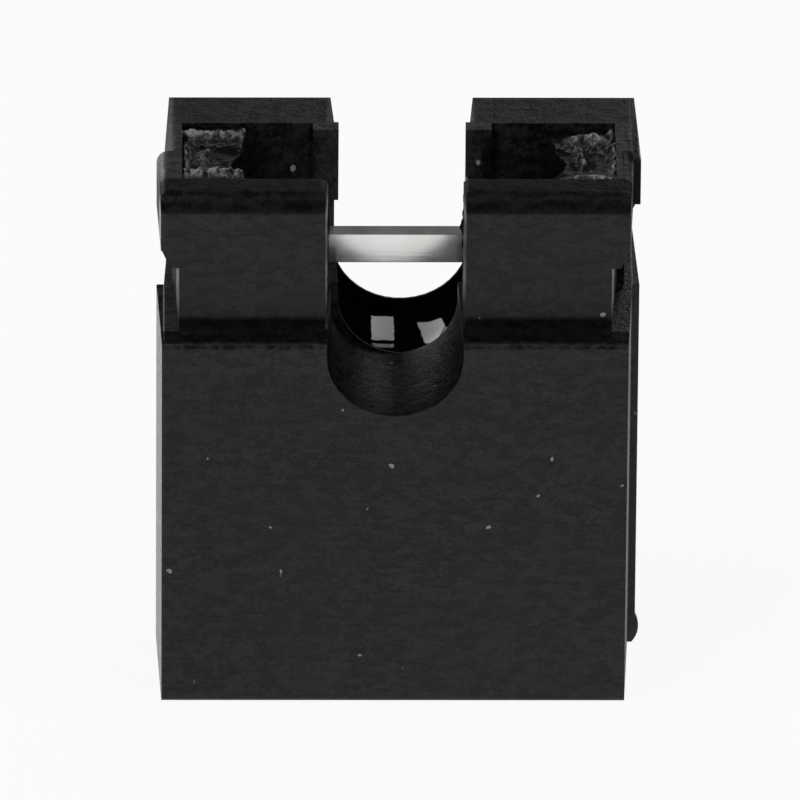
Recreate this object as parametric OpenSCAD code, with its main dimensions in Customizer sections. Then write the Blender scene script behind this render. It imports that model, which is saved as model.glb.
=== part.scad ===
// Open-top jumper shunt for two square posts: a moulded housing with two hollow
// towers, and a folded sheet-metal clip that joins the posts.
// X runs along the row of posts, -Y is the side with the finger ledge, +Z is up.
// The origin is the middle of the underside, on the parting plane of the mould.

/* [Posts] */
// Distance between the two posts
pitch = 2.54; // [2.5:0.01:2.6]
// Side of a square post
post_w = 0.64; // [0.6:0.01:0.66]

/* [Housing] */
// Room that each end of the housing leaves to its neighbour in the row
end_room = 0.12; // [0.08:0.01:0.2]
// Front-to-back size of the body
body_d = 2.44; // [2.3:0.01:2.5]
// Height of the body, up to its shoulders
body_h = 4.22; // [4:0.01:4.5]
// Height of the notched necks between the shoulders and the heads
neck_h = 0.74; // [0.6:0.01:0.9]
// Height of the heads of the towers
head_h = 0.82; // [0.7:0.01:1]
// Depth of the finger ledge across the front
ledge_d = 0.25; // [0.2:0.01:0.3]
// Depth of the grip notch in the outer side of each neck
notch_d = 0.157; // [0.12:0.001:0.18]

/* [Moulding] */
// Taper of an outer side, from the parting plane to the face
side_draft = 0.055; // [0:0.001:0.08]
// Taper of the sides of the gap above the sills
gap_draft = 0.085; // [0.06:0.001:0.12]
// Taper of the round trough below the sills
trough_draft = 0.05; // [0:0.001:0.055]
// Extra taper of the notched necks
neck_draft = 0.035; // [0:0.001:0.05]
// Sideways mismatch of the two mould halves at the parting plane
mould_step = 0.075; // [0:0.001:0.1]

/* [Rounds] */
// Round along the top front edge of the towers
crown_r = 0.19; // [0.05:0.01:0.25]
// Round along the top back edge of the towers
back_r = 0.15; // [0.05:0.01:0.25]
// Round of the upper corners of each head
head_r = 0.13; // [0.05:0.01:0.2]
// Hollow round where the towers rise from the ledge
foot_r = 0.175; // [0.05:0.005:0.2]
// Round along the edge of the ledge
ledge_r = 0.075; // [0.03:0.005:0.1]
// Round along the lower front and back edges
base_r = 0.06; // [0.03:0.01:0.1]
// Round of the lower end corners
corner_r = 0.09; // [0.03:0.01:0.15]
// Width of the chamfer under the outer edge of each head
head_chamfer = 0.085; // [0.05:0.005:0.12]
// Height of the same chamfer
head_chamfer_h = 0.2; // [0.1:0.01:0.3]

/* [Gap] */
// Width of the gap between the towers, at the parting plane
gap_w = 1.29; // [1.2:0.01:1.4]
// Height of the bottom of the round trough under the gap
trough_z = 3.42; // [3.2:0.01:3.6]

/* [Cavities] */
// Front-to-back size of the slots and the cavities below them
slot_d = 1.154; // [1.13:0.002:1.18]
// Wall between the end of a head and its slot
head_wall = 0.22; // [0.15:0.01:0.3]
// Wall between the grip notch and its cavity
neck_wall = 0.21; // [0.15:0.01:0.3]
// Height of the sills in the gap above the shoulders
sill_rise = 0.03; // [0:0.01:0.1]
// Front-to-back size of the lips that hold the clip down
lip_d = 0.14; // [0.08:0.01:0.25]
// Thickness of the floor that a post passes through
floor_h = 0.6; // [0.5:0.01:0.8]
// Room round a post in its hole in the floor
post_room = 0.05; // [0.03:0.01:0.08]
// Depth of the lead-in under each post hole
lead_h = 0.32; // [0.2:0.01:0.4]
// How far the lead-in widens on each side
lead_out = 0.2; // [0.1:0.01:0.25]

/* [Stakes] */
// Height of the pocket for a stake under the top of the head
stake_pocket_h = 0.58; // [0.5:0.01:0.7]
// Length of a stake along the slot
stake_l = 0.66; // [0.5:0.01:0.75]
// Thickness of a stake
stake_h = 0.42; // [0.3:0.01:0.45]
// Radius of the bite that the tool leaves in the end of a stake
bite_r = 0.34; // [0.2:0.01:0.45]
// Radius of the ring that the tool presses round the middle of a stake
ring_r = 0.2; // [0.15:0.01:0.25]
// Radius of that groove's section
groove_r = 0.06; // [0.03:0.01:0.08]

/* [Flash] */
// How far the flash at the parting line stands out near the base
flash_out = 0.035; // [0.01:0.005:0.04]
// Radius of its outline
flash_r = 0.3; // [0.2:0.01:0.4]
// Height of its middle
flash_z = 0.19; // [0.1:0.01:0.5]
// Thickness of the flash
flash_t = 0.05; // [0.03:0.01:0.08]

/* [Clip] */
// Thickness of the sheet
sheet_t = 0.18; // [0.15:0.01:0.2]
// Height of the bridge across the gap
bridge_h = 0.325; // [0.25:0.005:0.4]
// Clearance between the clip and the walls round it
fit = 0.01; // [0.005:0.001:0.02]
// How far the sides of a terminal hang below the bridge
skirt_h = 0.95; // [0.7:0.01:1.1]
// How far the ears stand above the bridge
ear_h = 0.58; // [0.3:0.01:0.6]
// Width of an ear
ear_w = 0.5; // [0.3:0.01:0.55]
// Round of an ear's upper corners
ear_r = 0.12; // [0.05:0.01:0.14]
// Inside radius of the folds
fold_r = 0.08; // [0.05:0.01:0.1]
// Width of a spring beam
beam_w = 0.6; // [0.5:0.01:0.64]
// Room beside a spring beam
beam_room = 0.1; // [0.08:0.01:0.15]
// Grip of a contact bump on the post
grip = 0.025; // [0.01:0.005:0.05]
// Radius of the middle line of a contact bump
bump_r = 0.6; // [0.4:0.01:0.8]
// Height of the contact bumps above the floor
bump_rise = 0.55; // [0.45:0.01:0.8]
// Angle at which a beam's lead-in opens
lead_angle = 20; // [12:1:22]
// Length of a beam's lead-in
lead_l = 0.13; // [0.08:0.01:0.16]

/* [Hidden] */
$fn = 64;

HALF_W = pitch - end_room;
HALF_D = body_d / 2;
HEAD_Z = body_h + neck_h;
TOP_Z = HEAD_Z + head_h;
NECK_W = HALF_W - notch_d;
HALF_GAP = gap_w / 2;
TROUGH_R = HALF_GAP;
TROUGH_AXIS = trough_z + TROUGH_R;
FOOT_R = min(foot_r, ledge_d - ledge_r);

CAVITY_IN = pitch / 2 - beam_w / 2 - beam_room;
CAVITY_OUT = NECK_W - neck_wall;
POCKET_OUT = HALF_W - head_wall;
POCKET_Z = TOP_Z - stake_pocket_h;
SILL_Z = body_h + sill_rise;

BRIDGE_Z = SILL_Z + fit;
BRIDGE_TOP = BRIDGE_Z + bridge_h;
SKIRT_Z = BRIDGE_Z - skirt_h;
PLATE_Y = slot_d / 2 - fit - sheet_t / 2;
CLIP_END = CAVITY_OUT - fit;
BUMP_Y = post_w / 2 - grip + sheet_t / 2;
BUMP_Z = floor_h + bump_rise;
BUMP_CENTRE = [BUMP_Y + bump_r, BUMP_Z];
BEAM_ROOT = [PLATE_Y, SKIRT_Z];
ROOT_OUT = BUMP_CENTRE[0] - BEAM_ROOT[0];
ROOT_UP = BEAM_ROOT[1] - BUMP_CENTRE[1];
// Lean of the straight part of a beam, which runs into the bump without a kink
BEAM_ANGLE = atan2(ROOT_UP, ROOT_OUT) - acos(bump_r / norm([ROOT_OUT, ROOT_UP]));

// How far cutting shapes run past the faces that they cut
OVER = 0.5;
// How far joined shapes run into each other
BITE = 0.02;

// Half-width at depth y of a side that tapers from the parting plane to the face
function taper(half, draft, y) = half - draft * y / HALF_D;

// The mirror image along Y, for the front mould half
module facing(side) {
    mirror([0, side < 0 ? 1 : 0, 0])
        children();
}

// The two ends of the row
module both_ends() {
    children();
    mirror([1, 0, 0])
        children();
}

// A flat profile in Y and Z, run along X
module along_x(from, to) {
    translate([from, 0, 0])
        rotate([90, 0, 90])
            linear_extrude(to - from)
                children();
}

// A flat profile in X and Z, run along Y
module along_y(from, to) {
    translate([0, to, 0])
        rotate([90, 0, 0])
            linear_extrude(to - from)
                children();
}

// A flat profile in X and Y, run along Z
module along_z(from, to) {
    translate([0, 0, from])
        linear_extrude(to - from)
            children();
}

// A rectangle from its two corners
module rect(low, high) {
    translate(low)
        square(high - low);
}

// What a round of radius r takes off the corner at a point; x and y point outwards
module corner_cut(at, r, x = 1, y = 1) {
    translate(at)
        mirror([x < 0 ? 1 : 0, 0])
            mirror([0, y < 0 ? 1 : 0])
                translate([-r, -r])
                    difference() {
                        square(r + OVER);
                        circle(r);
                    }
}

// What a hollow round of radius r adds in the corner at a point
module corner_fill(at, r) {
    translate(at)
        difference() {
            translate([-BITE, -BITE])
                square(r + BITE);
            translate([r, r])
                circle(r);
        }
}

// Side view of the front half, with the ledge; depth is measured from the parting plane
module front_profile() {
    tower_d = HALF_D - ledge_d;
    difference() {
        union() {
            rect([0, 0], [HALF_D, body_h]);
            rect([0, 0], [tower_d, TOP_Z]);
            corner_fill([tower_d, body_h], FOOT_R);
        }
        corner_cut([HALF_D, 0], base_r, y = -1);
        corner_cut([HALF_D, body_h], ledge_r);
        corner_cut([tower_d, TOP_Z], crown_r);
    }
}

// Side view of the back half, which is flat from top to bottom
module back_profile() {
    difference() {
        rect([0, 0], [HALF_D, TOP_Z]);
        corner_cut([HALF_D, 0], base_r, y = -1);
        corner_cut([HALF_D, TOP_Z], back_r);
    }
}

// Front view of one end of the housing, with the rounds of its head
module end_outline() {
    difference() {
        rect([0, 0], [HALF_W, TOP_Z]);
        corner_cut([HALF_W, 0], corner_r, y = -1);
        corner_cut([HALF_W, TOP_Z], head_r);
        corner_cut([HALF_GAP, TOP_Z], head_r, x = -1);
    }
}

// Plan of the space outside an end face that tapers
module outside(half, draft) {
    far = HALF_W + OVER;
    polygon([[taper(half, draft, -OVER), -OVER], [far, -OVER],
             [far, HALF_D + OVER], [taper(half, draft, HALF_D + OVER), HALF_D + OVER]]);
}

// The grip notch beside one neck, with the chamfer under the head
module grip_notch() {
    along_z(body_h, HEAD_Z)
        outside(NECK_W, side_draft + neck_draft);
    along_y(-OVER, HALF_D + OVER)
        polygon([[taper(HALF_W, side_draft, HALF_D) - head_chamfer, HEAD_Z],
                 [HALF_W + OVER, HEAD_Z],
                 [HALF_W + OVER, HEAD_Z + head_chamfer_h],
                 [taper(HALF_W, side_draft, HALF_D), HEAD_Z + head_chamfer_h]]);
}

// Plan of half the gap, which widens from the parting plane to the face
module gap_plan(draft) {
    polygon([[-OVER, -OVER], [taper(HALF_GAP, -draft, -OVER), -OVER],
             [taper(HALF_GAP, -draft, HALF_D + OVER), HALF_D + OVER],
             [-OVER, HALF_D + OVER]]);
}

// The gap between the towers and the round trough under it
module gap() {
    both_ends() {
        along_z(SILL_Z, TOP_Z + OVER)
            gap_plan(gap_draft);
        along_z(TROUGH_AXIS, SILL_Z + BITE)
            gap_plan(trough_draft);
    }
    translate([0, -OVER, TROUGH_AXIS])
        rotate([-90, 0, 0])
            cylinder(h = HALF_D + 2 * OVER,
                     r1 = taper(TROUGH_R, -trough_draft, -OVER),
                     r2 = taper(TROUGH_R, -trough_draft, HALF_D + OVER));
}

// What one half of the mould makes: side is -1 for the front and 1 for the back
module mould_half(side) {
    translate([side * mould_step / 2, 0, 0])
        facing(side)
            difference() {
                intersection() {
                    both_ends()
                        along_y(0, HALF_D)
                            end_outline();
                    along_x(-HALF_W - OVER, HALF_W + OVER)
                        if (side < 0) front_profile(); else back_profile();
                }
                both_ends() {
                    along_z(-OVER, TOP_Z + OVER)
                        outside(HALF_W, side_draft);
                    grip_notch();
                }
                gap();
            }
}

// The slot, the cavity for the terminal and the way in for the post, at one end
module cavity() {
    half_d = slot_d / 2;
    along_z(floor_h, TOP_Z + OVER)
        rect([CAVITY_IN, -half_d], [CAVITY_OUT, half_d]);
    along_z(POCKET_Z, TOP_Z + OVER)
        rect([CAVITY_IN, -half_d], [POCKET_OUT, half_d]);
    along_z(SILL_Z, TOP_Z + OVER)
        rect([-BITE, -half_d], [CAVITY_IN + BITE, half_d]);
    translate([pitch / 2, 0, 0])
        post_way();
}

// A square hole through the floor, with a lead-in that guides the post
module post_way() {
    half = post_w / 2 + post_room;
    along_z(-OVER, floor_h + OVER)
        rect([-half, -half], [half, half]);
    intersection() {
        along_y(-half - lead_out, half + lead_out)
            lead_in(half);
        along_x(-half - lead_out, half + lead_out)
            lead_in(half);
    }
}

// The tapering profile of a lead-in, for a hole of this half-width
module lead_in(half) {
    polygon([[-half - lead_out, 0], [-half, lead_h], [half, lead_h], [half + lead_out, 0]]);
}

// A lip at the gap end of a slot, over the bridge of the clip
module lip() {
    translate([mould_step / 2, 0, 0])
        both_ends()
            along_z(HEAD_Z, TOP_Z)
                rect([HALF_GAP, slot_d / 2 - lip_d],
                     [CAVITY_IN + mould_step / 2, slot_d / 2 + BITE]);
}

// Plastic pressed over the ear of the clip, with the marks that the tool leaves
module stake() {
    inner = POCKET_OUT - stake_l;
    top = POCKET_Z + stake_h;
    difference() {
        along_z(POCKET_Z, top)
            rect([inner, -slot_d / 2 - BITE], [POCKET_OUT + BITE, slot_d / 2 + BITE]);
        translate([inner - bite_r / 2, 0, POCKET_Z - OVER])
            cylinder(h = stake_h + 2 * OVER, r = bite_r);
        translate([POCKET_OUT - stake_l / 2, 0, top])
            rotate_extrude()
                translate([ring_r, 0])
                    circle(groove_r);
    }
}

// A thin fin of plastic at the parting line, low on one end
module flash() {
    middle = HALF_W + mould_step / 2 + flash_out - flash_r;
    translate([middle, 0, flash_z])
        rotate([-90, 0, 0])
            cylinder(h = flash_t, r = flash_r);
}

// The moulding: two mismatched halves round two cavities
module housing() {
    color([0.04, 0.04, 0.045]) {
        difference() {
            union() {
                mould_half(-1);
                mould_half(1);
                intersection() {
                    flash();
                    along_z(0, body_h)
                        rect([0, 0], [HALF_W + OVER, HALF_D]);
                }
            }
            both_ends()
                cavity();
        }
        lip();
        both_ends()
            stake();
    }
}

// A straight bar of sheet between two points of a beam's middle line
module bar(from, to) {
    along = (to - from) / norm(to - from);
    across = [along[1], -along[0]] * sheet_t / 2;
    polygon([from - across, to - across, to + across, from + across]);
}

// The point at an angle on the middle line of the bump, counted down from level
function on_bump(angle) = BUMP_CENTRE - bump_r * [cos(angle), sin(angle)];

// The arc of the bump between its upper and lower ends
module bump() {
    far = 2 * (bump_r + sheet_t);
    intersection() {
        translate(BUMP_CENTRE)
            difference() {
                circle(bump_r + sheet_t / 2);
                circle(bump_r - sheet_t / 2);
            }
        translate(BUMP_CENTRE)
            polygon([[0, 0], -far * [cos(-BEAM_ANGLE), sin(-BEAM_ANGLE)],
                     [-far, 0], -far * [cos(lead_angle), sin(lead_angle)]]);
    }
}

// Side view of a spring beam: a leaning arm, a contact bump and a flared tip
module beam_profile() {
    arm = [sin(BEAM_ANGLE), cos(BEAM_ANGLE)];
    tip = [sin(lead_angle), -cos(lead_angle)];
    bar(BEAM_ROOT + BITE * arm, on_bump(-BEAM_ANGLE) - BITE * arm);
    bump();
    bar(on_bump(lead_angle) - BITE * tip, on_bump(lead_angle) + lead_l * tip);
}

// Plan of the band that wraps round one post, open towards the gap
module band_plan() {
    outer = PLATE_Y + sheet_t / 2;
    inner = PLATE_Y - sheet_t / 2;
    difference() {
        rect([pitch / 2 - beam_w / 2, -outer], [CLIP_END, outer]);
        for (y = [-1, 1])
            corner_cut([CLIP_END, y * outer], fold_r + sheet_t, y = y);
        difference() {
            rect([0, -inner], [CLIP_END - sheet_t, inner]);
            for (y = [-1, 1])
                corner_cut([CLIP_END - sheet_t, y * inner], fold_r, y = y);
        }
    }
}

// The ear that stands up under a stake
module ear() {
    along_x(CLIP_END - sheet_t, CLIP_END)
        difference() {
            rect([-ear_w / 2, BRIDGE_TOP - BITE], [ear_w / 2, BRIDGE_TOP + ear_h]);
            for (side = [-1, 1])
                corner_cut([side * ear_w / 2, BRIDGE_TOP + ear_h], ear_r, x = side);
        }
}

// One terminal: the wrapped band, its ear and two opposed spring beams
module terminal() {
    along_z(SKIRT_Z, BRIDGE_TOP)
        band_plan();
    ear();
    for (side = [-1, 1])
        facing(side)
            along_x(pitch / 2 - beam_w / 2, pitch / 2 + beam_w / 2)
                beam_profile();
}

// The clip, folded from one strip: two terminals and the bridge between them
module contact_clip() {
    reach = pitch / 2 - beam_w / 2 + BITE;
    color([0.82, 0.82, 0.8]) {
        along_z(BRIDGE_Z, BRIDGE_TOP)
            rect([-reach, PLATE_Y - sheet_t / 2], [reach, PLATE_Y + sheet_t / 2]);
        both_ends()
            terminal();
    }
}

housing();
contact_clip();
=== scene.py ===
"""Looks of an open-top jumper shunt: a moulded housing with two towers and a folded clip.

All lengths in this file are millimetres, and MM turns them into metres.
X runs along the row of posts, -Y is the side with the finger ledge and +Z is up.
"""

import logging
import math
from dataclasses import dataclass
from enum import Enum
from typing import Sequence

import bmesh
import bpy
from mathutils import Matrix, Vector, noise


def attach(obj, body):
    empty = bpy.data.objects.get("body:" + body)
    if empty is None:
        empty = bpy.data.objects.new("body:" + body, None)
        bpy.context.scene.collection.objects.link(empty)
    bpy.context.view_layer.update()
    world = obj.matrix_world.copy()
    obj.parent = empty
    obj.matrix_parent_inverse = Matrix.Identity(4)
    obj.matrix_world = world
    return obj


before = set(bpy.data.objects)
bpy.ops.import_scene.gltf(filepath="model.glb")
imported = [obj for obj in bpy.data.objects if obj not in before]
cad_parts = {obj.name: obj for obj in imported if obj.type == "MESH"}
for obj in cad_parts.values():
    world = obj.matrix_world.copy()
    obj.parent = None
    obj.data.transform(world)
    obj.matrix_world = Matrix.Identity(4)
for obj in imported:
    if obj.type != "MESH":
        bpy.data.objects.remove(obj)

LOG = logging.getLogger("shunt")
MM = 0.001

# A limit that no point of the object reaches, for a band that is open on one side.
FAR = 9.0

# The sockets of a Mix node that carry colours.
MIX_LOW, MIX_HIGH, MIX_OUT = 6, 7, 2

# The index of refraction that all the finishes share.
IOR = 1.5

Colour = tuple[float, float, float, float]
# Where a step starts and where it ends.
Step = tuple[float, float]
# The low edge of a band, its high edge, and the softness of both.
Band = tuple[float, float, float]


# ---------------------------------------------------------------- shader maths

class Wire:
    """A shader value that can be used in Python expressions."""

    def __init__(self, recipe: "Recipe", socket: bpy.types.NodeSocket) -> None:
        """Wraps one output socket.

        Args:
            recipe: The material that the socket belongs to.
            socket: The output socket.
        """
        self.recipe = recipe
        self.socket = socket

    def _math(self, operation: str, *values: "Wire | float") -> "Wire":
        """Adds a Math node and returns its output."""
        return self.recipe.node("ShaderNodeMath", {"operation": operation}, values)

    def __add__(self, other: "Wire | float") -> "Wire":
        """self + other."""
        return self._math("ADD", self, other)

    def __radd__(self, other: float) -> "Wire":
        """other + self."""
        return self._math("ADD", other, self)

    def __sub__(self, other: "Wire | float") -> "Wire":
        """self - other."""
        return self._math("SUBTRACT", self, other)

    def __rsub__(self, other: float) -> "Wire":
        """other - self."""
        return self._math("SUBTRACT", other, self)

    def __mul__(self, other: "Wire | float") -> "Wire":
        """self * other."""
        return self._math("MULTIPLY", self, other)

    def __rmul__(self, other: float) -> "Wire":
        """other * self."""
        return self._math("MULTIPLY", other, self)

    def __abs__(self) -> "Wire":
        """abs(self)."""
        return self._math("ABSOLUTE", self)

    def over(self, low: float, high: float) -> "Wire":
        """A smooth step from 0 at low to 1 at high, or falling where high is below low.

        Args:
            low: The value at which the step is 0.
            high: The value at which it is 1.

        Returns:
            The step, from 0 to 1.
        """
        falling = high < low
        start, end = (high, low) if falling else (low, high)
        step = self.recipe.node(
            "ShaderNodeMapRange", {"interpolation_type": "SMOOTHSTEP"},
            {"Value": self, "From Min": start, "From Max": end})
        return 1 - step if falling else step

    def within(self, low: float, high: float, soft: float) -> "Wire":
        """A band that is 1 between low and high, with soft edges.

        Args:
            low: The middle of the lower edge.
            high: The middle of the higher edge.
            soft: Half the width of each edge.

        Returns:
            The band, from 0 to 1.
        """
        return self.over(low - soft, low + soft) * self.over(high + soft, high - soft)


@dataclass(frozen=True)
class Grain:
    """Smooth noise.

    Attributes:
        per_mm: Waves for each millimetre.
        detail: How many finer layers it has.
        roughness: The share of the finer layers.
    """

    per_mm: float
    detail: float
    roughness: float = 0.55


class Recipe:
    """A material under construction."""

    def __init__(self, name: str) -> None:
        """Starts an empty material.

        Args:
            name: The material's name.
        """
        self.material = bpy.data.materials.new(name)
        self.material.use_nodes = True
        self.tree = self.material.node_tree
        self.tree.nodes.clear()
        self.output = self.tree.nodes.new("ShaderNodeOutputMaterial")

    def add(self, kind: str, settings: dict | None = None,
            inputs: dict | Sequence | None = None) -> bpy.types.Node:
        """Adds one node.

        Args:
            kind: The node's type.
            settings: Properties of the node, set first.
            inputs: Values or wires by socket name or number, or in the order of the sockets.

        Returns:
            The node.
        """
        made = self.tree.nodes.new(kind)
        for key, value in (settings or {}).items():
            setattr(made, key, value)
        pairs = inputs.items() if isinstance(inputs, dict) else enumerate(inputs or ())
        for key, value in pairs:
            socket = made.inputs[key]
            if isinstance(value, Wire):
                self.tree.links.new(value.socket, socket)
            else:
                socket.default_value = value
        return made

    def node(self, kind: str, settings: dict | None = None,
             inputs: dict | Sequence | None = None, output: str | int = 0) -> Wire:
        """Adds one node and returns one of its outputs as a wire.

        Args:
            kind: The node's type.
            settings: Properties of the node, set first.
            inputs: Values or wires by socket name or number, or in the order of the sockets.
            output: The output's name or number.

        Returns:
            The output.
        """
        return Wire(self, self.add(kind, settings, inputs).outputs[output])

    def place(self) -> Wire:
        """The point on the surface, in millimetres in the shared frame."""
        coordinates = self.node("ShaderNodeTexCoord", output="Object")
        return self.node("ShaderNodeVectorMath", {"operation": "SCALE"},
                         {0: coordinates, "Scale": 1 / MM})

    def split(self, vector: Wire) -> tuple[Wire, Wire, Wire]:
        """The three parts of a vector.

        Args:
            vector: The vector.

        Returns:
            Its X, Y and Z.
        """
        parts = self.add("ShaderNodeSeparateXYZ", inputs=[vector])
        return tuple(Wire(self, output) for output in parts.outputs)

    def stretch(self, vector: Wire, factors: tuple[float, float, float]) -> Wire:
        """A vector with each part multiplied by its own factor.

        Args:
            vector: The vector.
            factors: The factors for X, Y and Z.

        Returns:
            The stretched vector.
        """
        return self.node("ShaderNodeVectorMath", {"operation": "MULTIPLY"}, [vector, factors])

    def noise(self, vector: Wire, grain: Grain) -> Wire:
        """Smooth noise from 0 to 1.

        Args:
            vector: Where to look it up, in millimetres.
            grain: What it is like.

        Returns:
            The noise.
        """
        return self.node("ShaderNodeTexNoise", {"noise_dimensions": "3D"},
                         {"Vector": vector, "Scale": grain.per_mm, "Detail": grain.detail,
                          "Roughness": grain.roughness}, "Fac")

    def blend(self, factor: Wire, low: Colour | Wire, high: Colour | Wire) -> Wire:
        """A mix of two colours.

        Args:
            factor: The share of the second colour.
            low: The colour where the factor is 0.
            high: The colour where it is 1.

        Returns:
            The mixed colour.
        """
        return self.node("ShaderNodeMix", {"data_type": "RGBA"},
                         {"Factor": factor, MIX_LOW: low, MIX_HIGH: high}, MIX_OUT)

    def bump(self, height: Wire, depth_mm: float) -> Wire:
        """A normal bent by a height map.

        Args:
            height: The height, from 0 to 1.
            depth_mm: What a height of 1 stands for.

        Returns:
            The bent normal.
        """
        return self.node("ShaderNodeBump", {},
                         {"Height": height, "Distance": depth_mm * MM, "Strength": 1.0}, "Normal")

    def shader(self, constants: dict, varying: dict) -> Wire:
        """Adds one Principled shader.

        Args:
            constants: Values that are the same all over, by socket name.
            varying: Wires, by socket name.

        Returns:
            The shader.
        """
        return self.node("ShaderNodeBsdfPrincipled", {}, {**constants, **varying}, "BSDF")

    def finish(self, shader: Wire) -> bpy.types.Material:
        """Ends the material in a shader.

        Args:
            shader: The shader.

        Returns:
            The finished material.
        """
        self.tree.links.new(shader.socket, self.output.inputs["Surface"])
        return self.material


def grey(value: float, warm: float = 0.0) -> Colour:
    """A grey colour.

    Args:
        value: How light it is.
        warm: How much more red and less blue it has, as a share.

    Returns:
        The colour.
    """
    return (value * (1 + warm), value, value * (1 - warm), 1.0)


@dataclass(frozen=True)
class Zone:
    """A box with soft edges, of which a mask is 1 inside and 0 outside.

    Attributes:
        share: The mask's value inside it.
        x: Its span along X, or nothing where it has no end.
        y: The same along Y.
        z: The same along Z.
    """

    share: float = 1.0
    x: Band | None = None
    y: Band | None = None
    z: Band | None = None

    def mask(self, x: Wire, y: Wire, z: Wire) -> Wire:
        """Makes the mask.

        Args:
            x: The point's X, in millimetres.
            y: Its Y.
            z: Its Z.

        Returns:
            The mask.
        """
        mask = self.share
        for value, band in ((x, self.x), (y, self.y), (z, self.z)):
            if band:
                mask = value.within(*band) * mask
        return mask


@dataclass(frozen=True)
class Sheen:
    """A polished patch at the bottom of the trough.

    Attributes:
        x: Its span along X.
        y: Its span along Y.
        lean: How much its sides shift along X for each millimetre of Y.
        slant: How much its ends shift along Y for each millimetre of X.
        side_wander: The share of the wander that its sides follow.
        end_wander: The share of the wander that its ends follow.
        share: Its strength.
    """

    x: Band
    y: Band
    lean: float = 0.0
    slant: float = 0.0
    side_wander: float = 0.3
    end_wander: float = 0.5
    share: float = 1.0

    def mask(self, x: Wire, y: Wire, wander: Wire) -> Wire:
        """Makes the patch's mask.

        Args:
            x: The point's X, in millimetres.
            y: Its Y.
            wander: How far an edge strays there, in millimetres.

        Returns:
            The mask.
        """
        sides = (x + wander * self.side_wander + y * self.lean).within(*self.x)
        ends = (y + wander * self.end_wander + x * self.slant).within(*self.y)
        return sides * ends * self.share


# ------------------------------------------------------------------- finishes

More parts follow.
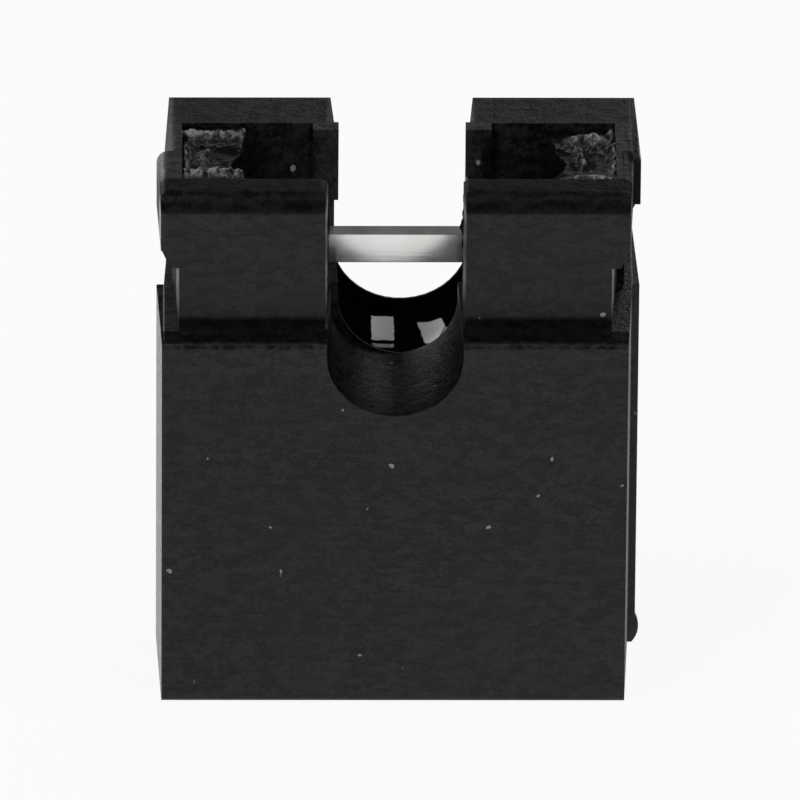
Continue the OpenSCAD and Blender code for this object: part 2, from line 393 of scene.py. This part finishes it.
@dataclass(frozen=True)
class MouldedBlack:
    """Black engineering plastic: spark-grained faces, and a smooth trough in painted shade with
    shiny patches.

    Attributes:
        shade: The plastic's own grey.
        pore: The grey of the grain's pits, as a share of the plastic's own.
        peak: The grey of the grain's tops, as such a share.
        bloom: The grey of the broad clouds, as such a share.
        warmth: Warmth of the pits and tops.
        bloom_warmth: Warmth of the clouds.
        bloom_cover: How much of the clouds shows.
        gloss: Level of the reflection.
        matte: Roughness of the grained faces.
        satin: Roughness of the drafted end faces, which leave the mould smoother.
        shiny: Roughness of the polished patches.
        uneven: How much the roughness follows the grain.
        grain_mm: Depth of the grain.
        ends_smooth: The share of that depth which the end faces lack.
        end_x: Distances from the middle between which the end faces begin.
        fine: The finer part of the grain.
        fine_share: Its share of the grain.
        coarse: The coarser part of the grain.
        coarse_stretch: What the coarser part is stretched by.
        clouds: The noise of the broad clouds.
        grain_step: Values of the grain between which the pits turn into tops.
        cloud_step: Values of the noise between which a cloud begins.
        specks: The noise that places the pale specks.
        speck_step: Values of that noise between which a speck begins.
        speck_shade: The grey of a speck.
        speck_cover: How much of a speck shows.
        wander: The noise that the edges of the polished patches follow.
        wander_mm: How far it goes.
        trough: The smooth stretch at the back of the trough, which is painted black with shade
            apart from the polished patches.
        sheens: The polished patches in it.
        reflection_streak: The painted reflection in the front of the trough, a bluish streak.
        reflection_streak_colour: Its colour.
        painted_shade: Where shade is painted on, in a darker, matt grey: the inner corner over the
            ledge, the front of the crown, the back of its brim, the mouth of the trough, and the
            left and right hollow.
        painted_shade_rough: Roughness under the painted shade.
        painted_shade_grey: Grey of the painted shade, as a share of the plastic's own.
    """

    shade: float = 0.0062
    pore: float = 0.05
    peak: float = 3.4
    bloom: float = 1.2
    warmth: float = 0.03
    bloom_warmth: float = 0.08
    bloom_cover: float = 0.35
    gloss: float = 0.29
    matte: float = 0.46
    satin: float = 0.3
    shiny: float = 0.07
    uneven: float = 0.5
    grain_mm: float = 0.02
    ends_smooth: float = 0.7
    end_x: Step = (2.372, 2.392)
    fine: Grain = Grain(22.0, 3.0, 0.6)
    fine_share: float = 0.45
    coarse: Grain = Grain(11.0, 2.0, 0.5)
    coarse_stretch: tuple[float, float, float] = (0.6, 1.0, 1.0)
    clouds: Grain = Grain(1.6, 3.0, 0.5)
    grain_step: Step = (0.42, 0.6)
    cloud_step: Step = (0.35, 0.7)
    specks: Grain = Grain(8.0, 0.0)
    speck_step: Step = (0.845, 0.86)
    speck_shade: float = 0.5
    speck_cover: float = 0.7
    wander: Grain = Grain(7.0, 2.0)
    wander_mm: float = 0.12
    # The back of the trough: smooth, and painted black with shade outside the polished patches.
    trough: Zone = Zone(x=(-0.76, 0.76, 0.01), y=(0.01, 1.19, 0.01), z=(3.2, 4.22, 0.03))
    sheens: tuple[Sheen, ...] = (
        Sheen((-0.262, -0.03, 0.01), (0.28, 0.81, 0.02), slant=-0.46),
        Sheen((-0.262, -0.03, 0.01), (0.125, 0.21, 0.02), slant=-0.46, end_wander=0.0, share=0.7),
        Sheen((0.3, 0.53, 0.012), (0.24, 0.72, 0.025), lean=0.156, slant=0.5),
    )
    # A painted reflection: a bluish streak in the front of the trough.
    reflection_streak: Zone = Zone(x=(-0.24, -0.06, 0.04), y=(-1.14, -0.03, 0.05), z=(-FAR, 3.825, 0.125))
    reflection_streak_colour: Colour = (0.035, 0.035, 0.055, 1.0)
    # Zones of painted shade: the hollows, the inner corner over the ledge, and tops that catch less
    # light.
    painted_shade: tuple[Zone, ...] = (
        Zone(0.85, y=(-1.2, -0.96, 0.02), z=(4.2, 4.39, 0.035)),
        Zone(0.62, y=(-1.05, -0.57, 0.02), z=(5.59, 5.9, 0.02)),
        Zone(0.25, y=(0.59, FAR, 0.01), z=(5.72, FAR, 0.02)),
        Zone(0.55, x=(-0.75, 0.75, 0.01), y=(-1.205, -0.01, 0.01), z=(3.2, 4.1, 0.05)),
        Zone(0.7, x=(-FAR, -0.85, 0.05), y=(-0.57, 0.57, 0.003), z=(4.3, 5.68, 0.04)),
        Zone(0.7, x=(0.85, FAR, 0.05), y=(-0.57, 0.57, 0.003), z=(4.3, 5.68, 0.04)),
    )
    painted_shade_rough: float = 0.8
    painted_shade_grey: float = 0.4

    def build(self) -> bpy.types.Material:
        """Makes the material.

        Returns:
            The material.
        """
        recipe = Recipe("moulded_black")
        place = recipe.place()
        x, y, z = recipe.split(place)
        wander = (recipe.noise(place, self.wander) - 0.5) * self.wander_mm
        # The trough's mask also places the painted shade in the trough.
        trough = self.trough.mask(x, y, z)
        mirror = trough * sum(patch.mask(x, y, wander) for patch in self.sheens).over(0.0, 1.0)
        # Painted shade: the darker, matt shader covers the trough, apart from its polished patches,
        # and the zones listed above.
        painted_shade_share = trough * (1 - mirror) + sum(zone.mask(x, y, z) for zone in self.painted_shade)
        grained = 1 - trough
        fine = recipe.noise(place, self.fine)
        coarse = recipe.noise(recipe.stretch(place, self.coarse_stretch), self.coarse)
        grain = fine * self.fine_share + coarse * (1 - self.fine_share)
        cloud = recipe.noise(place, self.clouds).over(*self.cloud_step)
        speck = recipe.noise(place, self.specks).over(*self.speck_step)
        tint = recipe.blend(grain.over(*self.grain_step), grey(self.shade * self.pore, self.warmth),
                            grey(self.shade * self.peak, self.warmth))
        clouded = recipe.blend(cloud * self.bloom_cover, tint,
                               grey(self.shade * self.bloom, self.bloom_warmth))
        # Painted reflection: the bluish streak in the front of the trough.
        streaked = recipe.blend(self.reflection_streak.mask(x, y, z) * coarse, clouded, self.reflection_streak_colour)
        colour = recipe.blend(speck * grained * self.speck_cover, streaked, grey(self.speck_shade))
        ends = abs(x).over(*self.end_x)
        rough = ((grain - 0.5) * grained * self.uneven + self.matte
                 + ends * (self.satin - self.matte) + mirror * (self.shiny - self.matte))
        normal = recipe.bump(grain * grained * (1 - ends * self.ends_smooth), self.grain_mm)
        skin = recipe.shader({"IOR": IOR, "Specular IOR Level": self.gloss},
                             {"Base Color": colour, "Roughness": rough, "Normal": normal})
        # The darker, matt shader that paints the shade.
        painted_shade = recipe.shader({"IOR": IOR, "Specular IOR Level": 0.0, "Roughness": self.painted_shade_rough,
                              "Base Color": grey(self.shade * self.painted_shade_grey)}, {})
        return recipe.finish(recipe.node("ShaderNodeMixShader", {}, [painted_shade_share, skin, painted_shade]))


@dataclass(frozen=True)
class TornBlack:
    """The same plastic where a tool has pressed and torn it, with pale edges.

    Attributes:
        shade: The plastic's own grey.
        bruise: The grey of the stretched edges.
        warmth: Warmth of both.
        floor_z: Height below which it is all dark.
        rim_z: Height at which the stretched edges are palest.
        crease: The noise of its creases.
        crease_mm: Their depth.
        pale_step: Values of that noise between which a stretched edge begins.
        gloss: Level of the reflection.
        matte: Roughness of the dark plastic.
        polish: How much less rough the stretched edges are.
    """

    shade: float = 0.003
    bruise: float = 0.26
    warmth: float = 0.03
    floor_z: float = 5.65
    rim_z: float = 5.745
    crease: Grain = Grain(11.0, 2.0, 0.6)
    crease_mm: float = 0.012
    pale_step: Step = (0.4, 0.62)
    gloss: float = 0.5
    matte: float = 0.5
    polish: float = 0.2

    def build(self) -> bpy.types.Material:
        """Makes the material.

        Returns:
            The material.
        """
        recipe = Recipe("torn_black")
        place = recipe.place()
        z = recipe.split(place)[2]
        crease = recipe.noise(place, self.crease)
        pale = z.over(self.floor_z, self.rim_z) * crease.over(*self.pale_step)
        colour = recipe.blend(pale, grey(self.shade, self.warmth), grey(self.bruise, self.warmth))
        return recipe.finish(recipe.shader(
            {"IOR": IOR, "Specular IOR Level": self.gloss},
            {"Base Color": colour, "Roughness": self.matte - pale * self.polish,
             "Normal": recipe.bump(crease, self.crease_mm)}))


@dataclass(frozen=True)
class BrightTin:
    """Bright tin plate on rolled strip.

    Attributes:
        shade: The metal's grey.
        dim: The grey of its dimmer clouds, as a share of that.
        warmth: Warmth of the bright metal.
        dim_warmth: Warmth of the dimmer clouds.
        metal: How metallic it is.
        gloss: Level of the reflection.
        polish: Mean roughness of the rolled faces.
        uneven: How much the roughness follows the clouds.
        lines: The noise of the rolling lines.
        lines_stretch: What the lines are stretched by.
        lines_share: Their share of the relief.
        drawn_mm: Depth of the relief.
        clouds: The noise of the clouds.
        cloud_step: Values of that noise between which the metal brightens.
    """

    shade: float = 0.86
    dim: float = 0.92
    warmth: float = 0.01
    dim_warmth: float = 0.02
    metal: float = 0.88
    gloss: float = 0.5
    polish: float = 0.16
    uneven: float = 0.08
    lines: Grain = Grain(1.0, 2.0)
    lines_stretch: tuple[float, float, float] = (1.5, 30.0, 30.0)
    lines_share: float = 0.7
    drawn_mm: float = 0.0003
    clouds: Grain = Grain(4.0, 3.0, 0.5)
    cloud_step: Step = (0.35, 0.65)

    def build(self) -> bpy.types.Material:
        """Makes the material.

        Returns:
            The material.
        """
        recipe = Recipe("bright_tin")
        place = recipe.place()
        lines = recipe.noise(recipe.stretch(place, self.lines_stretch), self.lines)
        cloud = recipe.noise(place, self.clouds)
        colour = recipe.blend(cloud.over(*self.cloud_step),
                              grey(self.shade * self.dim, self.dim_warmth),
                              grey(self.shade, self.warmth))
        relief = lines * self.lines_share + cloud * (1 - self.lines_share)
        return recipe.finish(recipe.shader(
            {"Metallic": self.metal, "IOR": IOR, "Specular IOR Level": self.gloss},
            {"Base Color": colour, "Roughness": (cloud - 0.5) * self.uneven + self.polish,
             "Normal": recipe.bump(relief, self.drawn_mm)}))


# ----------------------------------------------------------------- fine shapes

@dataclass
class EdgeBreak:
    """The tiny round that every edge of a real part has.

    Attributes:
        width: Width of the round.
        segments: Faces across it.
        weld: Distance under which loose corners are joined first.
        flat_deg: Angle under which neighbouring faces count as one.
        sharp_deg: Angle over which an edge is rounded.
    """

    width: float = 0.032
    segments: int = 3
    weld: float = 0.0008
    flat_deg: float = 0.4
    sharp_deg: float = 28.0

    def apply_to(self, piece: bpy.types.Object) -> None:
        """Adds the modifiers to a piece.

        Args:
            piece: The piece, whose own mesh isn't changed.
        """
        join = piece.modifiers.new("join", "WELD")
        join.merge_threshold = self.weld * MM
        flat = piece.modifiers.new("flat", "DECIMATE")
        flat.decimate_type = "DISSOLVE"
        flat.angle_limit = math.radians(self.flat_deg)
        bevel = piece.modifiers.new("edges", "BEVEL")
        bevel.width = self.width * MM
        bevel.segments = self.segments
        bevel.limit_method = "ANGLE"
        bevel.angle_limit = math.radians(self.sharp_deg)
        bevel.use_clamp_overlap = True


def new_object(name: str, data: bpy.types.ID) -> bpy.types.Object:
    """Makes an object and links it to the scene.

    Args:
        name: Its name.
        data: Its mesh, camera or light.

    Returns:
        The object.
    """
    made = bpy.data.objects.new(name, data)
    bpy.context.scene.collection.objects.link(made)
    return made


def finish_mesh(name: str, shape: bmesh.types.BMesh, material: bpy.types.Material
                ) -> bpy.types.Object:
    """Turns a bmesh in millimetres into a piece that rides on the part.

    Args:
        name: The piece's name.
        shape: Its shape, which is used up.
        material: Its finish.

    Returns:
        The piece.
    """
    bmesh.ops.scale(shape, verts=shape.verts, vec=(MM, MM, MM))
    bmesh.ops.recalc_face_normals(shape, faces=shape.faces)
    mesh = bpy.data.meshes.new(name)
    shape.to_mesh(mesh)
    shape.free()
    mesh.materials.append(material)
    mesh.shade_smooth()
    piece = new_object(name, mesh)
    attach(piece, "root")
    return piece


def ridge(distance: float, width: float) -> float:
    """The height of a rounded ridge.

    Args:
        distance: The distance from its crest.
        width: Its half-width, which may be infinite.

    Returns:
        The height, where 1 is the crest.
    """
    return math.exp(-(distance / width) ** 2)


@dataclass(frozen=True)
class Fold:
    """One rounded fold in pressed plastic.

    Attributes:
        top: Its height, where 1 is the crest of the whole piece.
        along: Its place and half-width, from 0 at the outer end to 1 at the inner edge.
        across: Its place and half-width, from -1 at the front to 1 at the back.
        lean: How much its place along shifts with the place across.
        bow: How much its ends bend towards the front.
    """

    top: float
    along: Step = (0.0, math.inf)
    across: Step = (0.0, math.inf)
    lean: float = 0.0
    bow: float = 0.0

    def height(self, along: float, across: float) -> float:
        """The fold's height at a point.

        Args:
            along: From 0 at the outer end to 1 at the inner edge.
            across: From -1 at the front to 1 at the back.

        Returns:
            The height.
        """
        lengthwise = ridge(along - self.along[0] - self.lean * across, self.along[1])
        bowed = across - self.across[0] + self.bow * (along - 0.5) ** 2
        return self.top * lengthwise * ridge(bowed, self.across[1])


class Crease(Enum):
    """The folds of each way in which the plastic has torn."""

    RING = (
        Fold(0.95, across=(0.84, 0.13)),
        Fold(0.9, across=(-0.48, 0.14), bow=0.3),
        Fold(0.8, along=(0.1, 0.11), across=(0.1, 0.9)),
        Fold(0.85, along=(0.42, 0.17), across=(0.16, 0.24)),
        Fold(0.7, along=(0.93, 0.1), across=(-0.75, 0.25)),
    )
    FLAP = (
        Fold(0.95, along=(0.45, 0.42), across=(0.72, 0.16)),
        Fold(0.95, along=(0.68, 0.06), across=(0.1, 0.5), lean=0.12),
        Fold(0.75, along=(0.06, 0.12)),
        Fold(0.8, along=(0.4, 0.5), across=(-0.7, 0.22)),
    )


@dataclass
class StakedPlastic:
    """Plastic that the staking tool has pushed up and torn over one end of a slot.

    Attributes:
        name: The piece's name.
        crease: How it has torn.
        side: -1 for the left end and 1 for the right.
        inner: Distance from the middle to its inner edge.
        outer: Distance from the middle to its outer edge.
        half_d: Half of its front-to-back size.
        base_z: Height of the flat plastic under it.
        crest: Height of the highest fold above that.
        sink: How far its underside is sunk in.
        bite: How far its inner edge is bitten out in the middle.
        bite_half: Half-width of the bite, as a share of half_d.
        fray: How ragged the inner edge is.
        cells: Faces along its length and across it.
        waves: Waves of noise along its length and across half of it.
        layers: Fall-off, spacing and number of the layers of noise.
        wander: How far the noise moves a fold, along and across.
        lift: Mean of what the noise scales a fold's height by, and its spread.
        wrinkle: Height of the small wrinkles, as a share of the crest.
        wrinkle_waves: How much finer they are than the noise.
        wrinkle_mean: Their mean height, which is taken off.
        seed: Where its pattern of noise starts.
    """

    name: str
    crease: Crease
    side: int
    inner: float = 1.56
    outer: float = 2.21
    half_d: float = 0.585
    base_z: float = 5.615
    crest: float = 0.15
    sink: float = 0.03
    bite: float = 0.14
    bite_half: float = 0.42
    fray: float = 0.03
    cells: tuple[int, int] = (72, 110)
    waves: tuple[float, float] = (4.0, 6.0)
    layers: tuple[float, float, int] = (1.0, 2.1, 3)
    wander: tuple[float, float] = (0.08, 0.13)
    lift: tuple[float, float] = (0.9, 0.3)
    wrinkle: float = 0.35
    wrinkle_waves: float = 1.7
    wrinkle_mean: float = 0.25
    seed: float = 3.0

    def height(self, along: float, across: float, rough: float) -> float:
        """The height of the folds at a point.

        Args:
            along: From 0 at the outer end to 1 at the inner edge.
            across: From -1 at the front to 1 at the back.
            rough: The noise there, about -1 to 1.

        Returns:
            The height, where 1 is the crest.
        """
        along += self.wander[0] * rough
        across += self.wander[1] * rough
        level = max(fold.height(along, across) for fold in self.crease.value)
        return level * (self.lift[0] + self.lift[1] * rough)

    def build(self, material: bpy.types.Material) -> bpy.types.Object:
        """Makes the piece.

        Args:
            material: Its finish.

        Returns:
            The piece.
        """
        shape = bmesh.new()
        bmesh.ops.create_grid(shape, x_segments=self.cells[0], y_segments=self.cells[1], size=1)
        skirt = bmesh.ops.extrude_face_region(shape, geom=shape.faces[:])
        top = {item for item in skirt["geom"] if isinstance(item, bmesh.types.BMVert)}
        middle = (self.inner + self.outer) / 2
        half = (self.outer - self.inner) / 2
        for vert in shape.verts:
            across = vert.co.y
            along = 0.5 - 0.5 * vert.co.x
            spot = Vector((along * self.waves[0], across * self.waves[1], self.seed * self.side))
            rough = noise.fractal(spot, *self.layers)
            wrinkle = abs(noise.noise(spot * self.wrinkle_waves)) - self.wrinkle_mean
            level = self.height(along, across, rough) + self.wrinkle * wrinkle
            lift = max(0.0, min(1.0, level)) * self.crest if vert in top else -self.sink
            inset = along * (self.bite * ridge(across, self.bite_half) + self.fray * rough)
            vert.co.x = self.side * (middle + vert.co.x * half + inset)
            vert.co.y = across * self.half_d
            vert.co.z = self.base_z + lift
        return finish_mesh(self.name, shape, material)


@dataclass
class FlashFin:
    """A paper-thin, ragged fin of plastic that the mould left along an edge.

    Attributes:
        name: The piece's name.
        root: X and Y of the edge that it grows from.
        reach: How far it stands out along X, with its sign.
        low: Height of its lower end.
        high: Height of its upper end.
        thick: Its thickness.
        buried: The share of the reach by which it starts inside the plastic.
        mean: Its mean width, as a share of the reach.
        ragged: How much the noise changes that.
        least: The least width, as such a share.
        waves: Waves of noise for each millimetre of height.
        layers: Fall-off, spacing and number of the layers of noise.
        bulge_z: Height of the place where it stands out most.
        bulge_half: Half the height of that place.
        bulge: How much further it stands out there, as a share of the reach.
        bend: How far it bends out of its plane.
        bend_waves: Waves of the bend for each millimetre of height.
        cells: Faces across its width and along its height.
        seed: Where its pattern of noise starts.
    """

    name: str
    root: tuple[float, float]
    reach: float
    low: float
    high: float
    thick: float = 0.02
    buried: float = 0.4
    mean: float = 0.62
    ragged: float = 0.5
    least: float = 0.15
    waves: float = 7.0
    layers: tuple[float, float, int] = (0.9, 2.0, 4)
    bulge_z: float = 5.25
    bulge_half: float = 0.06
    bulge: float = 0.5
    bend: float = 0.012
    bend_waves: float = 5.0
    cells: tuple[int, int] = (4, 90)
    seed: float = 1.0

    def build(self, material: bpy.types.Material) -> bpy.types.Object:
        """Makes the piece.

        Args:
            material: Its finish.

        Returns:
            The piece.
        """
        shape = bmesh.new()
        bmesh.ops.create_grid(shape, x_segments=self.cells[0], y_segments=self.cells[1], size=0.5)
        for vert in shape.verts:
            share = vert.co.x + 0.5
            z = self.low + (vert.co.y + 0.5) * (self.high - self.low)
            spot = Vector((z * self.waves, self.seed, 0.0))
            width = self.mean + self.ragged * noise.fractal(spot, *self.layers)
            width += self.bulge * ridge(z - self.bulge_z, self.bulge_half)
            bend = self.bend * noise.noise(Vector((z * self.bend_waves, share, self.seed)))
            out = self.reach * (share * max(self.least, width) - self.buried)
            vert.co = Vector((self.root[0] + out, self.root[1] + bend, z))
        bmesh.ops.solidify(shape, geom=shape.faces[:], thickness=self.thick)
        return finish_mesh(self.name, shape, material)


# --------------------------------------------------------------------- studio

def direction(azimuth: float, elevation: float) -> Vector:
    """The way from the object to something that stands round it.

    Args:
        azimuth: Degrees round the object, 0 in front and 90 on the right.
        elevation: Degrees above the floor.

    Returns:
        The way, of length 1.
    """
    turn, up = math.radians(azimuth), math.radians(elevation)
    return Vector((math.sin(turn) * math.cos(up), -math.cos(turn) * math.cos(up), math.sin(up)))


@dataclass(frozen=True)
class Lamp:
    """A soft box that faces the object.

    Attributes:
        name: The lamp's name.
        azimuth: Degrees round the object, 0 in front and 90 on the right.
        elevation: Degrees above the floor.
        distance: How far off it stands.
        size: Its width and height.
        radiance: How bright its face is, where 1 is white.
    """

    name: str
    azimuth: float
    elevation: float
    distance: float
    size: tuple[float, float]
    radiance: float

    def build(self, target: Vector) -> None:
        """Makes the lamp.

        Args:
            target: The point that it faces, in millimetres.
        """
        data = bpy.data.lights.new(self.name, "AREA")
        data.shape = "RECTANGLE"
        data.size, data.size_y = self.size[0] * MM, self.size[1] * MM
        data.energy = self.radiance * math.pi * data.size * data.size_y
        lamp = new_object(self.name, data)
        back = direction(self.azimuth, self.elevation)
        lamp.location = (target + back * self.distance) * MM
        lamp.rotation_mode = "QUATERNION"
        lamp.rotation_quaternion = (-back).to_track_quat("-Z", "Y")


@dataclass(frozen=True)
class Studio:
    """Camera, lamps, floor and world.

    Attributes:
        elevation: Degrees that the camera looks down.
        azimuth: Degrees that it stands to the right of the front.
        roll: Degrees that it is turned about its own axis.
        sensor: Width of its sensor.
        lens: Focal length of the long lens.
        view_w: Width of what the camera sees at the object.
        clip: Nearest and farthest depth it sees, as shares of its distance.
        target: The point that it aims at.
        floor_half: Half-width of the floor.
        floor_gap: How far the floor lies under the object.
        floor_shade: The floor's grey where light falls on it.
        floor_white: How much of the floor's own white the camera and the reflections see.
        room_light: Strength of the dim room round the set.
        lamps: The soft boxes: one on each side in front, and two low ones behind.
    """

    elevation: float = 30.0
    azimuth: float = -0.8
    roll: float = 0.45
    sensor: float = 36.0
    lens: float = 1000.0
    view_w: float = 8.163
    clip: tuple[float, float] = (0.5, 4.0)
    target: tuple[float, float, float] = (0.03, 0.0, 2.864)
    floor_half: float = 70.0
    floor_gap: float = 0.002
    floor_shade: float = 0.86
    floor_white: float = 0.92
    room_light: float = 0.035
    lamps: tuple[Lamp, ...] = (
        Lamp("key", -62, 52, 90, (60, 60), 3.2),
        Lamp("fill", 66, 48, 90, (60, 60), 2.6),
        Lamp("pane_right", 162.5, 22, 120, (46, 52), 2.0),
        Lamp("pane_left", -156, 15, 120, (46, 66), 2.0),
    )

    def make_camera(self) -> None:
        """Makes the scene's camera."""
        data = bpy.data.cameras.new("camera")
        data.sensor_width = self.sensor
        data.lens = self.lens
        distance = self.lens / self.sensor * self.view_w
        data.clip_start, data.clip_end = (distance * share * MM for share in self.clip)
        camera = new_object("camera", data)
        back = direction(self.azimuth, self.elevation)
        aim = (-back).to_track_quat("-Z", "Y").to_matrix().to_4x4()
        roll = Matrix.Rotation(math.radians(self.roll), 4, "Z")
        camera.matrix_world = (Matrix.Translation((Vector(self.target) + back * distance) * MM)
                               @ aim @ roll)
        bpy.context.scene.camera = camera

    def make_floor(self) -> None:
        """Makes the pale floor, which keeps the object's shadow."""
        mesh = bpy.data.meshes.new("floor")
        shape = bmesh.new()
        bmesh.ops.create_grid(shape, x_segments=1, y_segments=1, size=self.floor_half * MM)
        bmesh.ops.translate(shape, verts=shape.verts, vec=(0, 0, -self.floor_gap * MM))
        shape.to_mesh(mesh)
        shape.free()
        recipe = Recipe("floor")
        lit = recipe.node("ShaderNodeBsdfDiffuse", {}, {"Color": grey(self.floor_shade)})
        white = recipe.node("ShaderNodeEmission", {}, {"Color": grey(1.0), "Strength": 1.0})
        path = recipe.add("ShaderNodeLightPath")
        seen = sum(Wire(recipe, path.outputs[name]) for name in
                   ("Is Camera Ray", "Is Glossy Ray", "Is Transmission Ray"))
        share = seen.over(0.0, 1.0) * self.floor_white
        mesh.materials.append(recipe.finish(
            recipe.node("ShaderNodeMixShader", {}, [share, lit, white])))
        new_object("floor", mesh)

    def make_world(self) -> None:
        """Makes the dim room round the set, which the camera sees as white."""
        world = bpy.data.worlds.new("room")
        bpy.context.scene.world = world
        world.use_nodes = True
        tree = world.node_tree
        room = tree.nodes["Background"]
        white = tree.nodes.new("ShaderNodeBackground")
        for background, strength in ((room, self.room_light), (white, 1.0)):
            background.inputs["Color"].default_value = grey(1.0)
            background.inputs["Strength"].default_value = strength
        mixed = tree.nodes.new("ShaderNodeMixShader")
        path = tree.nodes.new("ShaderNodeLightPath")
        tree.links.new(path.outputs["Is Camera Ray"], mixed.inputs[0])
        tree.links.new(room.outputs[0], mixed.inputs[1])
        tree.links.new(white.outputs[0], mixed.inputs[2])
        tree.links.new(mixed.outputs[0], tree.nodes["World Output"].inputs["Surface"])

    def build(self) -> None:
        """Makes the whole set."""
        self.make_camera()
        self.make_floor()
        self.make_world()
        for lamp in self.lamps:
            lamp.build(Vector(self.target))
        bpy.context.scene.view_settings.view_transform = "Standard"


# ----------------------------------------------------------------------- main

def main() -> None:
    """Builds the set and dresses the parts."""
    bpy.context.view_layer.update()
    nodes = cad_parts
    Studio().build()
    finishes = {"housing": MouldedBlack(), "contact_clip": BrightTin()}
    for name, finish in finishes.items():
        piece = nodes[name]
        piece.data.materials.clear()
        piece.data.materials.append(finish.build())
        EdgeBreak().apply_to(piece)
        LOG.info("dressed %s", name)
    torn = TornBlack().build()
    plain = nodes["housing"].data.materials[0]
    extras = [
        (StakedPlastic("torn_stake_left", Crease.RING, -1), torn),
        (StakedPlastic("torn_stake_right", Crease.FLAP, 1), torn),
        (FlashFin("flash_right", (0.655, -0.585), -0.05, 4.27, 5.6), plain),
        (FlashFin("flash_left", (-0.72, -0.585), 0.03, 4.27, 5.5, seed=7.0), plain),
    ]
    for maker, material in extras:
        piece = maker.build(material)
        LOG.info("built %s", piece.name)


if __name__ == "__main__":
    logging.basicConfig(level=logging.INFO, format="%(message)s")
    main()
